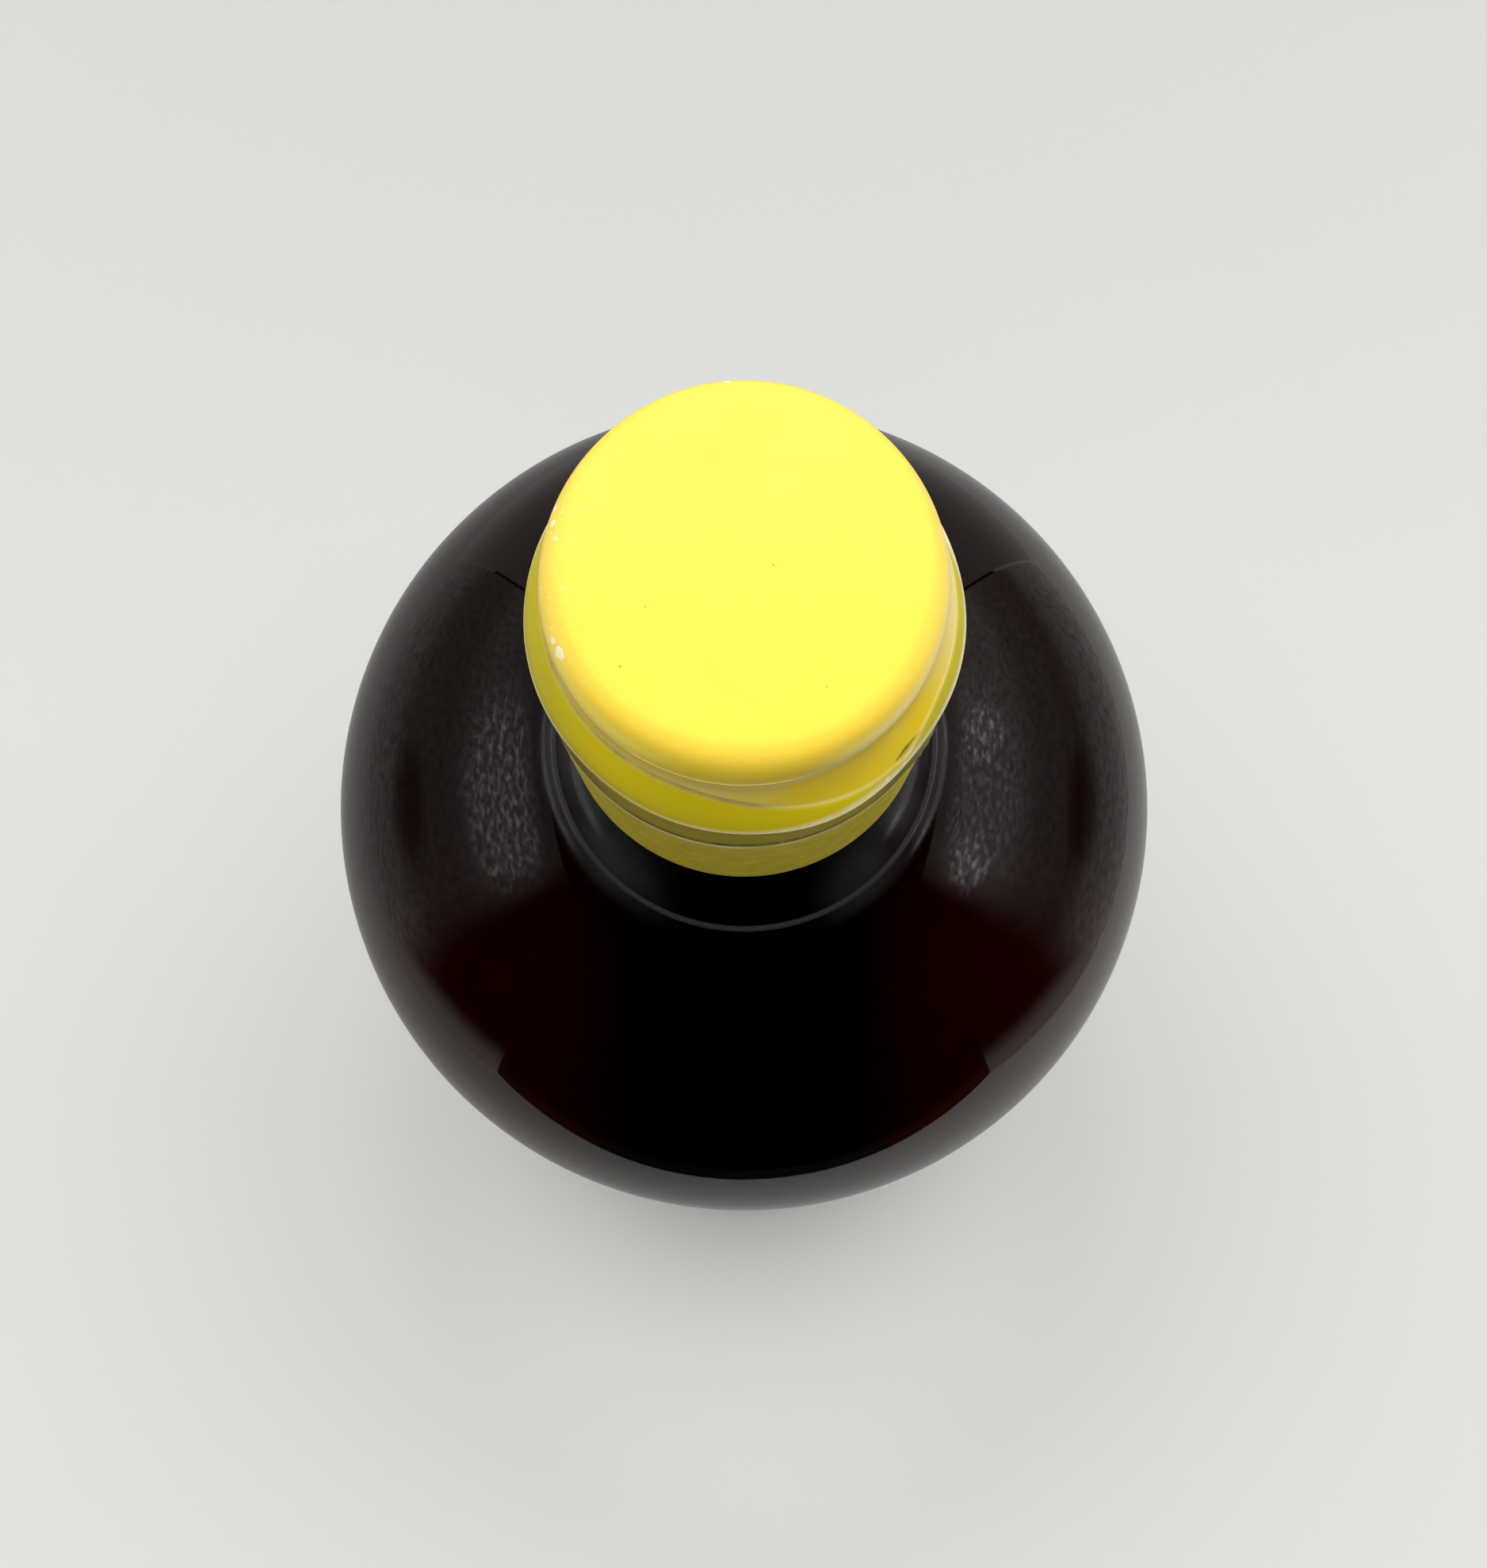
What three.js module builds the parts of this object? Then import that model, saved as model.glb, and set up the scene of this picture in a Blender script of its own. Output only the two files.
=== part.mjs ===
import * as THREE from 'three';

// A full one-litre rum bottle of clear glass: a straight round body, a ball-like shoulder,
// a short neck, and a yellow metal screw cap that has been opened once, so that its torn-off
// band stays behind on the neck. Millimetres, +Z up, standing on the origin, with the front
// of the bottle towards -Y.

// Driving dimensions
const TOTAL_HEIGHT = 245;

const BODY_RADIUS = 46;
const WALL = 2.8;
const HEEL_RADIUS = 7;
const STANDING_RING_INNER = 34;
const PUNT_RISE = 6;
const BOTTOM_THICKNESS = 5;
const SHOULDER_RADIUS = 36;
const SHOULDER_DEPTH = 90.8;

const NECK_RING_RADIUS = 18.9;
const NECK_RING_BEAD = 0.45;
const NECK_RADIUS = 15.2;
const NECK_FLARE = 3.2;
const BORE_RADIUS = 11;
const FINISH_RADIUS = 14;
const FINISH_DEPTH = 12.6;

const RUM_LEVEL_DEPTH = 46;
const RUM_GAP = 0.3;

const CAP_RADIUS = 15.2;
const CAP_EDGE_ROUNDING = 2.4;
const CAP_INNER_CORNER = 2;
const CAP_SHEET = 0.6;
const COLLAR_RADIUS = 17.1;
const COLLAR_DEPTH = 11.3;
const COLLAR_LIP = 0.6;
const GROOVE_START_DEPTH = 2.5;
const GROOVE_DIP = 0.28;
const LAP_DEPTH = 5.5;
const LAP_RADIUS = 15.3;
const RIDGE_DROP = 4.5;
const RIDGE_FLARE = 1.4;

const BAND_TOP_DEPTH = 12.5;
const BAND_TOP_RADIUS = 16.95;
const BAND_GROOVE_DEPTH = 18.6;
const BAND_GROOVE_RADIUS = 16.65;
const BAND_GROOVE_HALF = 0.3;
const BAND_SHOULDER_RADIUS = 16.88;
const BAND_FOOT_RADIUS = 16.4;
const BAND_FOOT_DEPTH = 39;
const BAND_INNER_RADIUS = 15.75;

const SEGMENTS = 60;
const DEGREES_PER_SEGMENT = 360 / SEGMENTS;

// Depths are measured down from the cap's flat top, because the bottle is seen from above.
const heightAt = (depth) => TOTAL_HEIGHT - depth;

// Profile helpers: a profile is a list of (radius, height) points
const point = (radius, height) => new THREE.Vector2(radius, height);

function arc(centreRadius, centreHeight, radius, fromDegrees, toDegrees, steps) {
  const points = [];
  for (let i = 0; i <= steps; i++) {
    const angle = THREE.MathUtils.degToRad(fromDegrees + ((toDegrees - fromDegrees) * i) / steps);
    points.push(point(
      centreRadius + radius * Math.cos(angle),
      centreHeight + radius * Math.sin(angle),
    ));
  }
  return points;
}

// A shallow dome over the middle of the bottom, from its crown out to its rim
function dome(rimRadius, rimHeight, rise, steps) {
  const points = [];
  for (let i = 0; i < steps; i++) {
    const t = i / steps;
    points.push(point(rimRadius * t, rimHeight + rise * (1 - t * t) ** 1.5));
  }
  return points;
}

// Turns a profile about the vertical axis. Angle 0 is the front, 90 degrees is +X.
function turn(profile) {
  const geometry = new THREE.LatheGeometry(profile, SEGMENTS);
  geometry.rotateX(Math.PI / 2);
  return geometry;
}

function named(name, geometry, colour, roughness, metalness, opacity = 1) {
  const material = new THREE.MeshStandardMaterial({ color: colour, roughness, metalness });
  material.transparent = opacity < 1;
  material.opacity = opacity;
  const mesh = new THREE.Mesh(geometry, material);
  mesh.name = name;
  return mesh;
}

// Inside of the glass, from the middle of the bottom up to a given height in the bore, moved
// inwards by `gap`. The rum uses the same outline with a gap.
function innerProfile(gap) {
  const radius = BODY_RADIUS - WALL - gap;
  const floor = BOTTOM_THICKNESS + gap;
  const corner = HEEL_RADIUS + 1;
  const shoulder = SHOULDER_RADIUS - WALL - gap;
  const shoulderCentre = BODY_RADIUS - SHOULDER_RADIUS;
  const bore = BORE_RADIUS - gap;
  const fillet = NECK_FLARE + WALL + gap;
  const reach = bore + fillet - shoulderCentre;
  const meet = Math.acos(reach / (shoulder + fillet));
  const meetDegrees = THREE.MathUtils.radToDeg(meet);
  const filletHeight = heightAt(SHOULDER_DEPTH) + (shoulder + fillet) * Math.sin(meet);
  return [
    ...dome(radius - corner, floor, PUNT_RISE, 4),
    ...arc(radius - corner, floor + corner, corner, -90, 0, 4),
    ...arc(shoulderCentre, heightAt(SHOULDER_DEPTH), shoulder, 0, meetDegrees, 9),
    ...arc(bore + fillet, filletHeight, fillet, 180 + meetDegrees, 180, 3).slice(1),
  ];
}

function bottleGlass() {
  const shoulderCentre = BODY_RADIUS - SHOULDER_RADIUS;
  const ringOuter = NECK_RING_RADIUS + NECK_RING_BEAD;
  const shoulderEnd = Math.acos((ringOuter - shoulderCentre) / SHOULDER_RADIUS);
  const rootHeight = heightAt(SHOULDER_DEPTH) + SHOULDER_RADIUS * Math.sin(shoulderEnd);
  const outer = [
    ...dome(STANDING_RING_INNER, 0, PUNT_RISE, 4),
    point(STANDING_RING_INNER, 0),
    ...arc(BODY_RADIUS - HEEL_RADIUS, HEEL_RADIUS, HEEL_RADIUS, -90, 0, 4),
    ...arc(
      shoulderCentre,
      heightAt(SHOULDER_DEPTH),
      SHOULDER_RADIUS,
      0,
      THREE.MathUtils.radToDeg(shoulderEnd),
      11,
    ),
    // the thin moulded ring at the root of the neck
    ...arc(NECK_RING_RADIUS, rootHeight, NECK_RING_BEAD, 45, 180, 3),
    // the flare up into the neck
    ...arc(NECK_RADIUS + NECK_FLARE, rootHeight + NECK_FLARE, NECK_FLARE, 262, 180, 4),
    point(NECK_RADIUS, heightAt(FINISH_DEPTH + 1)),
    // the mouth under the cap
    point(FINISH_RADIUS, heightAt(FINISH_DEPTH)),
    point(FINISH_RADIUS, heightAt(1.8)),
    point(FINISH_RADIUS - 0.9, heightAt(CAP_SHEET + RUM_GAP)),
    point(BORE_RADIUS + 0.7, heightAt(CAP_SHEET + RUM_GAP)),
    point(BORE_RADIUS, heightAt(1.8)),
  ];
  return turn([...outer, ...innerProfile(0).reverse()]);
}

function rum() {
  return turn([
    ...innerProfile(RUM_GAP),
    point(BORE_RADIUS - RUM_GAP, heightAt(RUM_LEVEL_DEPTH)),
    point(0, heightAt(RUM_LEVEL_DEPTH)),
  ]);
}

// Rolled thread in the cap's skirt. One groove starts below the rounded edge at the front, a
// little left of the middle, widens to the right, runs round the back while it sinks, and
// comes back on the left as the hollow above the collar. Between the two laps stands a ridge,
// which leans out and down to the right until it meets the collar.
const ramp = (value, from, to) => THREE.MathUtils.clamp((value - from) / (to - from), 0, 1);

function hollow(depth, from, to, dip) {
  const t = ramp(depth, from.depth, to.depth);
  return from.radius + (to.radius - from.radius) * t ** 1.7 - dip * Math.sin(Math.PI * t);
}

function skirtRadius(degrees, depth) {
  const angle = degrees > 180 ? degrees - 360 : degrees;
  const collar = { depth: COLLAR_DEPTH, radius: COLLAR_RADIUS };
  const start = { depth: GROOVE_START_DEPTH, radius: CAP_RADIUS };
  const lap = { depth: LAP_DEPTH, radius: LAP_RADIUS };
  if (angle >= -22 && angle <= 110) {
    const down = Math.sin((Math.PI / 2) * ramp(angle, -22, 50)) ** 1.4;
    const out = ramp(angle, 50, 110);
    const ridge = {
      depth: lap.depth + RIDGE_DROP * down + (collar.depth - lap.depth - RIDGE_DROP) * out,
      radius: lap.radius + RIDGE_FLARE * down ** 1.5
        + (collar.radius - lap.radius - RIDGE_FLARE) * out,
    };
    if (depth <= ridge.depth) {
      return hollow(depth, start, ridge, GROOVE_DIP * down);
    }
    return hollow(depth, ridge, collar, GROOVE_DIP * (1 - down));
  }
  const round = angle > 110 ? ramp(angle, 110, 290) : ramp(angle + 360, 110, 290);
  const top = {
    depth: start.depth + (lap.depth - start.depth) * round,
    radius: start.radius + (lap.radius - start.radius) * round,
  };
  if (depth <= top.depth) {
    return hollow(depth, start, top, 0);
  }
  return hollow(depth, top, collar, GROOVE_DIP);
}

function screwCap() {
  const skirtRows = 12;
  const edge = arc(
    CAP_RADIUS - CAP_EDGE_ROUNDING,
    heightAt(CAP_EDGE_ROUNDING),
    CAP_EDGE_ROUNDING,
    0,
    90,
    4,
  );
  const skirt = [];
  for (let i = 0; i <= skirtRows; i++) {
    const t = i / skirtRows;
    const depth = COLLAR_DEPTH + (GROOVE_START_DEPTH - COLLAR_DEPTH) * t;
    skirt.push(point(COLLAR_RADIUS, heightAt(depth)));
  }
  const inside = [
    point(0, heightAt(CAP_SHEET)),
    point(CAP_RADIUS - CAP_INNER_CORNER, heightAt(CAP_SHEET)),
    point(CAP_RADIUS - CAP_SHEET - 0.15, heightAt(CAP_INNER_CORNER)),
    point(CAP_RADIUS - CAP_SHEET - 0.1, heightAt(7.2)),
    point(CAP_RADIUS + 0.15, heightAt(9.6)),
    point(COLLAR_RADIUS - 0.7, heightAt(11.2)),
    point(COLLAR_RADIUS - 0.5, heightAt(COLLAR_DEPTH + COLLAR_LIP)),
    point(COLLAR_RADIUS - 0.1, heightAt(COLLAR_DEPTH + COLLAR_LIP)),
  ];
  const profile = [...inside, ...skirt, ...edge, point(0, TOTAL_HEIGHT)];
  const geometry = turn(profile);
  const positions = geometry.attributes.position;
  for (let segment = 0; segment <= SEGMENTS; segment++) {
    const degrees = (segment % SEGMENTS) * DEGREES_PER_SEGMENT;
    const angle = THREE.MathUtils.degToRad(degrees);
    for (let row = 0; row <= skirtRows; row++) {
      const index = segment * profile.length + inside.length + row;
      const radius = skirtRadius(degrees, TOTAL_HEIGHT - positions.getZ(index));
      positions.setX(index, radius * Math.sin(angle));
      positions.setY(index, -radius * Math.cos(angle));
    }
  }
  return geometry;
}

function tamperBand() {
  const foot = heightAt(BAND_FOOT_DEPTH);
  const profile = [
    point(BAND_INNER_RADIUS, heightAt(BAND_TOP_DEPTH)),
    point(BAND_INNER_RADIUS, foot + 0.5),
    point(BAND_INNER_RADIUS + 0.2, foot),
    point(BAND_FOOT_RADIUS - 0.25, foot),
    point(BAND_FOOT_RADIUS, foot + 0.9),
    // the fine groove round the band, where its upper strip ends
    point(BAND_SHOULDER_RADIUS, heightAt(BAND_GROOVE_DEPTH + BAND_GROOVE_HALF)),
    point(BAND_GROOVE_RADIUS, heightAt(BAND_GROOVE_DEPTH)),
    point(BAND_SHOULDER_RADIUS, heightAt(BAND_GROOVE_DEPTH - BAND_GROOVE_HALF)),
    point(BAND_TOP_RADIUS, heightAt(BAND_TOP_DEPTH)),
    point(BAND_INNER_RADIUS, heightAt(BAND_TOP_DEPTH)),
  ];
  return turn(profile);
}

const group = new THREE.Group();
group.name = 'rum_bottle';
group.add(
  named('bottle_glass', bottleGlass(), 0xe8ecea, 0.05, 0, 0.35),
  named('rum', rum(), 0x2a0805, 0.1, 0, 0.9),
  named('screw_cap', screwCap(), 0xfff04a, 0.35, 0),
  named('tamper_band', tamperBand(), 0xb5a548, 0.4, 0),
);

export default group;
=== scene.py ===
# %% [markdown]
# # A bottle of dark rum, seen from above
#
# This lesson dresses a plain model of a full rum bottle. The plain model gives every size: a
# glass shell, the rum inside it, a screw cap, and the torn-off band that stays on the neck.
# Here each of them gets a fine surface and a finish, and then a photographer's light box is set
# up round it, because dark glass shows little more than what it mirrors.

# %% Load the frame
import math

import bpy
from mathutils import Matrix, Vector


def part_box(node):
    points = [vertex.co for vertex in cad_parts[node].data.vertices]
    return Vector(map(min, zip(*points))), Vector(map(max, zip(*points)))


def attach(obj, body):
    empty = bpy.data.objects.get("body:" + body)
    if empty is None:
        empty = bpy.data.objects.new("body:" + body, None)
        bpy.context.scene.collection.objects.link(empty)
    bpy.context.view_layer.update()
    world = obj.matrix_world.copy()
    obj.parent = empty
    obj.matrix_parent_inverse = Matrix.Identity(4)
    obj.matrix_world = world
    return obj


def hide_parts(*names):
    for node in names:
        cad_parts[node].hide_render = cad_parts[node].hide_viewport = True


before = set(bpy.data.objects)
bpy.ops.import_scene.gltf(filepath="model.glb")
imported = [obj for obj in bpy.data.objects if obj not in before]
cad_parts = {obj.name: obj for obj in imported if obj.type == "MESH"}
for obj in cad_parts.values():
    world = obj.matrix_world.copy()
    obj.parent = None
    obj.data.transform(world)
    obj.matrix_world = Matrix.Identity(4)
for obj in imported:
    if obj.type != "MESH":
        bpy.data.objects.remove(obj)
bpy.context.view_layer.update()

# %% [markdown]
# ## Sizes
#
# All sizes are in metres. The radii and heights that the plain model already has are read from
# it, so that the fine pieces stay where the plain ones are. Smaller steps, such as the dip of
# a groove, are named here in millimetres times `MM`.

# %% Read the main sizes
MM = 0.001
glass_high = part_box("bottle_glass")[1]
rum_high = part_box("rum")[1]
cap_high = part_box("screw_cap")[1]

BODY_RADIUS = glass_high[0]
CAP_TOP = cap_high[2]
MOUTH_HEIGHT = glass_high[2]
RUM_LEVEL = rum_high[2]
print(f"Body {2 * BODY_RADIUS / MM:.1f} mm across, cap top at {CAP_TOP / MM:.1f} mm")


def below_top(depth_mm):
    """Height of a place that lies so many millimetres below the cap's flat top."""
    return CAP_TOP - depth_mm * MM


# %% [markdown]
# ## Turning a shape
#
# A bottle, its cap and its band are all round, and a profile tells everything about them. By
# hand one would draw the profile and use Spin. Here a circle is extruded upwards ring by ring,
# and each ring is scaled to its own radius. The result is the same, but every ring stays a
# clean loop of edges, and no seam has to be merged afterwards.

# %% Helpers for profiles
def arc(centre, radius, start, end, steps):
    """Points of an arc in the profile, as (radius, height); angles in degrees."""
    points = []
    for i in range(steps + 1):
        angle = math.radians(start + (end - start) * i / steps)
        points.append((centre[0] + radius * math.cos(angle), centre[1] + radius * math.sin(angle)))
    return points


def straight(start, end, steps):
    """Points between two profile points, without the first."""
    (r, z), (dr, dz) = start, (end[0] - start[0], end[1] - start[1])
    return [(r + dr * i / steps, z + dz * i / steps) for i in range(1, steps + 1)]


# %% The turning helper
POLE = 1e-9


def deselect_all():
    if bpy.context.mode != "OBJECT":
        bpy.ops.object.mode_set(mode="OBJECT")
    bpy.ops.object.select_all(action="DESELECT")


def signed_volume(mesh):
    total = 0.0
    mesh.calc_loop_triangles()
    for triangle in mesh.loop_triangles:
        a, b, c = (mesh.vertices[i].co for i in triangle.vertices)
        total += a.dot(b.cross(c)) / 6
    return total


def extrude_up(rise):
    bpy.ops.mesh.extrude_edges_move(TRANSFORM_OT_translate={"value": (0, 0, rise)})


def turned(name, profile, sides):
    """A round piece: a circle extruded through every point of the profile. A profile that
    starts and ends on the axis gives a solid with poles, and any other closes on itself."""
    deselect_all()
    on_axis = profile[0][0] < POLE
    rings = profile[1:-1] if on_axis else profile
    first_radius, first_height = rings[0]
    bpy.ops.mesh.primitive_circle_add(
        vertices=sides, radius=first_radius, location=(0, 0, first_height), fill_type="NOTHING"
    )
    piece = bpy.context.object
    piece.name = name
    piece.data.name = name
    bpy.ops.object.transform_apply(location=True, rotation=True, scale=True)
    bpy.ops.object.mode_set(mode="EDIT")
    bpy.ops.mesh.select_all(action="SELECT")
    if on_axis:
        extrude_up(profile[0][1] - first_height)
        bpy.ops.mesh.merge(type="CENTER")
        bpy.ops.mesh.select_all(action="SELECT")
        bpy.ops.mesh.region_to_loop()
    radius, height = first_radius, first_height
    for next_radius, next_height in rings[1:]:
        extrude_up(next_height - height)
        factor = next_radius / radius
        bpy.ops.transform.resize(
            value=(factor, factor, 1), center_override=(0, 0, next_height)
        )
        radius, height = next_radius, next_height
    if on_axis:
        extrude_up(profile[-1][1] - height)
        bpy.ops.mesh.merge(type="CENTER")
    else:
        bpy.ops.mesh.select_all(action="SELECT")
        bpy.ops.mesh.remove_doubles(threshold=1e-6)
    bpy.ops.object.mode_set(mode="OBJECT")
    if signed_volume(piece.data) < 0:
        bpy.ops.object.mode_set(mode="EDIT")
        bpy.ops.mesh.select_all(action="SELECT")
        bpy.ops.mesh.flip_normals()
        bpy.ops.object.mode_set(mode="OBJECT")
    bpy.ops.object.shade_smooth()
    volume_cm3 = signed_volume(piece.data) / MM**3 / 1000
    print(f"{name}: {len(piece.data.vertices)} points, {volume_cm3:.2f} cm3")
    return piece


# %% [markdown]
# ## The glass
#
# A mould gives a bottle its outside: a flat standing ring round a raised punt, a rounded heel, a
# straight wall, a shoulder like part of a ball, a thin ring where the shoulder meets the neck,
# and a short flare up into the neck. Air blown in gives the inside, which follows the outside at
# the wall's thickness. Both are one closed profile here, so that the glass is a real shell and
# bends light on both faces.

# %% Sizes of the glass
SHOULDER_RADIUS = 36 * MM
SHOULDER_FOOT = below_top(90.8)
SHOULDER_CENTRE = BODY_RADIUS - SHOULDER_RADIUS
HEEL_RADIUS = 7 * MM
STANDING_RING_INNER = 34 * MM
PUNT_RISE = 6 * MM
NECK_RING_RADIUS = 18.9 * MM
NECK_RING_BEAD = 0.45 * MM
NECK_RADIUS = 15.2 * MM
NECK_FLARE = 3.2 * MM
BORE_RADIUS = 11 * MM
FINISH_RADIUS = 14 * MM
GLASS_WALL = 2.8 * MM
BOTTOM_THICKNESS = 5 * MM
MOUTH_OUTER_EDGE = 0.9 * MM
MOUTH_INNER_EDGE = 0.7 * MM
STANDING_EDGE = 0.9 * MM
GLASS_SIDES = 192
print(f"The shoulder is part of a ball of {SHOULDER_RADIUS / MM:.0f} mm radius")


# %% Profiles of the glass
def dome(rim_radius, rim_height, rise, steps):
    """The raised middle of the bottom, from its crown out to its rim."""
    points = []
    for i in range(steps):
        t = i / steps
        points.append((rim_radius * t, rim_height + rise * (1 - t * t) ** 1.5))
    return points


def inside_profile(into_wall):
    """The bottle's inside, from the middle of its bottom to the bore, moved into the wall."""
    radius = BODY_RADIUS - GLASS_WALL + into_wall
    floor = BOTTOM_THICKNESS - into_wall
    corner = HEEL_RADIUS + 1 * MM
    shoulder = SHOULDER_RADIUS - GLASS_WALL + into_wall
    bore = BORE_RADIUS + into_wall
    fillet = NECK_FLARE + GLASS_WALL - into_wall
    meet = math.acos((bore + fillet - SHOULDER_CENTRE) / (shoulder + fillet))
    meet_degrees = math.degrees(meet)
    fillet_height = SHOULDER_FOOT + (shoulder + fillet) * math.sin(meet)
    return (
        dome(radius - corner, floor, PUNT_RISE, 12)
        + arc((radius - corner, floor + corner), corner, -90, 0, 10)
        + straight((radius, floor + corner), (radius, SHOULDER_FOOT), 6)[:-1]
        + arc((SHOULDER_CENTRE, SHOULDER_FOOT), shoulder, 0, meet_degrees, 32)
        + arc((bore + fillet, fillet_height), fillet, 180 + meet_degrees, 180, 8)[1:]
    )


def outside_profile():
    """The bottle's outside, from the middle of its bottom up to the edge of its mouth."""
    ring_outer = NECK_RING_RADIUS + NECK_RING_BEAD
    shoulder_end = math.acos((ring_outer - SHOULDER_CENTRE) / SHOULDER_RADIUS)
    root = SHOULDER_FOOT + SHOULDER_RADIUS * math.sin(shoulder_end)
    heel_centre = (BODY_RADIUS - HEEL_RADIUS, HEEL_RADIUS)
    flare_centre = (NECK_RADIUS + NECK_FLARE, root + NECK_FLARE)
    neck_top = below_top(13.6)
    lip = STANDING_EDGE
    outer, inner = MOUTH_OUTER_EDGE, MOUTH_INNER_EDGE
    return (
        dome(STANDING_RING_INNER - lip, lip, PUNT_RISE - lip, 12)
        + arc((STANDING_RING_INNER, lip), lip, 180, 270, 4)
        + arc(heel_centre, HEEL_RADIUS, -90, 0, 12)
        + straight((BODY_RADIUS, HEEL_RADIUS), (BODY_RADIUS, SHOULDER_FOOT), 6)[:-1]
        + arc((SHOULDER_CENTRE, SHOULDER_FOOT), SHOULDER_RADIUS, 0, math.degrees(shoulder_end), 48)
        + arc((NECK_RING_RADIUS, root), NECK_RING_BEAD, 40, 175, 8)
        + arc(flare_centre, NECK_FLARE, 262, 180, 12)
        + straight((NECK_RADIUS, root + NECK_FLARE), (NECK_RADIUS, neck_top), 4)
        + [(FINISH_RADIUS, below_top(12.6)), (FINISH_RADIUS, MOUTH_HEIGHT - outer)]
        + arc((FINISH_RADIUS - outer, MOUTH_HEIGHT - outer), outer, 20, 90, 4)
        + arc((BORE_RADIUS + inner, MOUTH_HEIGHT - inner), inner, 90, 180, 4)
    )


# %% Turn the glass
bottle = turned("bottle_shell", outside_profile() + inside_profile(0)[::-1], GLASS_SIDES)
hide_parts("bottle_glass")
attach(bottle, "root")

# %% [markdown]
# ## The rum
#
# Where a liquid touches glass there is no air between them. If two meshes only met face to face,
# rounding would leave slivers of air that sparkle. So the rum reaches a little way into the
# wall. Its level stands in the neck, a little below the band, and climbs the glass by a hair's
# breadth at its edge, as a wetting liquid does.

# %% Turn the rum
INTO_WALL = 0.15 * MM
MENISCUS = 1.2 * MM
SURFACE_RINGS = 10


def rum_profile():
    """The bottle's inside a little into the wall, closed by the level with its raised edge."""
    bore = BORE_RADIUS + INTO_WALL
    surface = []
    for i in range(SURFACE_RINGS):
        t = 1 - i / SURFACE_RINGS
        surface.append((bore * t, RUM_LEVEL + MENISCUS * (t**8)))
    return inside_profile(INTO_WALL) + surface + [(0, RUM_LEVEL)]


rum = turned("rum_fill", rum_profile(), GLASS_SIDES)
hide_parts("rum")
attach(rum, "root")

# %% [markdown]
# ## The cap
#
# The cap is thin aluminium, drawn to a cup and lacquered, then pressed against the glass by
# rollers that leave the thread's groove in its skirt. Its lower edge flares out where it tore off
# the band. The groove isn't the same all round, so a turned shape alone can't have it. The skirt
# is turned as a plain wall first, and each of its points is then set to the radius that the
# rollers would leave at its angle and depth. Angles run from the front, 0, to the right, 90, and
# depths are measured down from the cap's flat top. Depths and radii are plain millimetres here.

# %% The rolled groove
CAP_RADIUS = 15.2
COLLAR = 17.1
COLLAR_DEPTH = 11.3
GROOVE_START = 2.5
GROOVE_DIP = 0.28
GROOVE_SAG = 1.9
LAP = (5.5, 15.3)
RIDGE_DROP = 4.5
RIDGE_FLARE = 1.4
RIDGE_LEFT_END = -70
RIDGE_SINKS = (-22, 50)
RIDGE_STEPS_BACK = (40, 64)
RIDGE_STEP = (1.8, 0.55)
RIDGE_RUNS_OUT = 98
RIDGE_END = 128
LAP_CLOSES = 290


def ramp(value, start, end):
    return min(max((value - start) / (end - start), 0), 1)


def bell(value, middle, width):
    """A soft bump of height 1 round a middle value."""
    return math.exp(-(((value - middle) / width) ** 2))


def hollow(depth, top, bottom, dip):
    """Radius inside a groove between its upper and its lower edge, each (depth, radius)."""
    t = ramp(depth, top[0], bottom[0])
    return top[1] + (bottom[1] - top[1]) * t**1.7 - dip * math.sin(math.pi * t)


def ridge_at(degrees):
    """Depth and radius of the ridge between the thread's two laps. Angle 0 is the front."""
    if degrees > RIDGE_END or degrees < RIDGE_LEFT_END:
        turn = ramp(degrees if degrees > RIDGE_END else degrees + 360, RIDGE_END, LAP_CLOSES)
        return (
            GROOVE_START + (LAP[0] - GROOVE_START) * turn,
            CAP_RADIUS + (LAP[1] - CAP_RADIUS) * turn,
        )
    down = math.sin(math.pi / 2 * ramp(degrees, *RIDGE_SINKS)) ** 1.4
    out = ramp(degrees, RIDGE_RUNS_OUT, RIDGE_END)
    back = ramp(degrees, *RIDGE_STEPS_BACK)
    depth = LAP[0] + RIDGE_DROP * down - RIDGE_STEP[0] * back
    radius = LAP[1] + RIDGE_FLARE * down**1.5 - RIDGE_STEP[1] * back
    return depth + (COLLAR_DEPTH - depth) * out, radius + (COLLAR - radius) * out


def groove_top(degrees):
    """Depth at which the upper groove begins: lowest a little left of the front."""
    return GROOVE_START + GROOVE_SAG * bell(degrees, -14, 30)


# %% [markdown]
# ### The dent, the crease and the torn lip
#
# The skirt has a crescent-shaped dent on the right, just under the ridge, and the dent's lower
# rim is pushed up a little. By hand one would sculpt it. Here its width shrinks along the turn
# until it ends, which gives the same shape and can be moved by its numbers. A fine crease runs
# under the ridge, and the lip is rolled out and is no true circle.

# %% Dent, crease and lip
CREASE = 0.13
NICK_AT = 48
NICK_REACH = 5
NICK_WIDTH = 0.36
NICK_DEPTH = 0.4
NICK_RIM = 0.12
LIP_ROLL = 0.1
LIP_BUMPS = ((0.24, 22, 16), (-0.13, 53, 12), (0.1, 84, 16), (-0.2, -42, 20))
SHARE_ABOVE_RIDGE = 0.45
EDGE_ROUNDING = 2.4
ROUNDER_IN_FRONT = 0.6
SHARPER_AT_BACK = 1.3


def nick_at(degrees, depth):
    """1 in the middle of the little crescent-shaped dent, 0 at its outline."""
    width = NICK_WIDTH * (1 - ((degrees - NICK_AT) / NICK_REACH) ** 2)
    if width <= 0.02:
        return 0
    return max(0, 1 - abs(depth - ridge_at(degrees)[0] - 0.12) / width)


def rim_at(degrees, depth):
    """1 on the raised lower rim of the dent."""
    return bell(degrees, NICK_AT, 4) * bell(depth, ridge_at(degrees)[0] + 0.72, 0.24)


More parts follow.
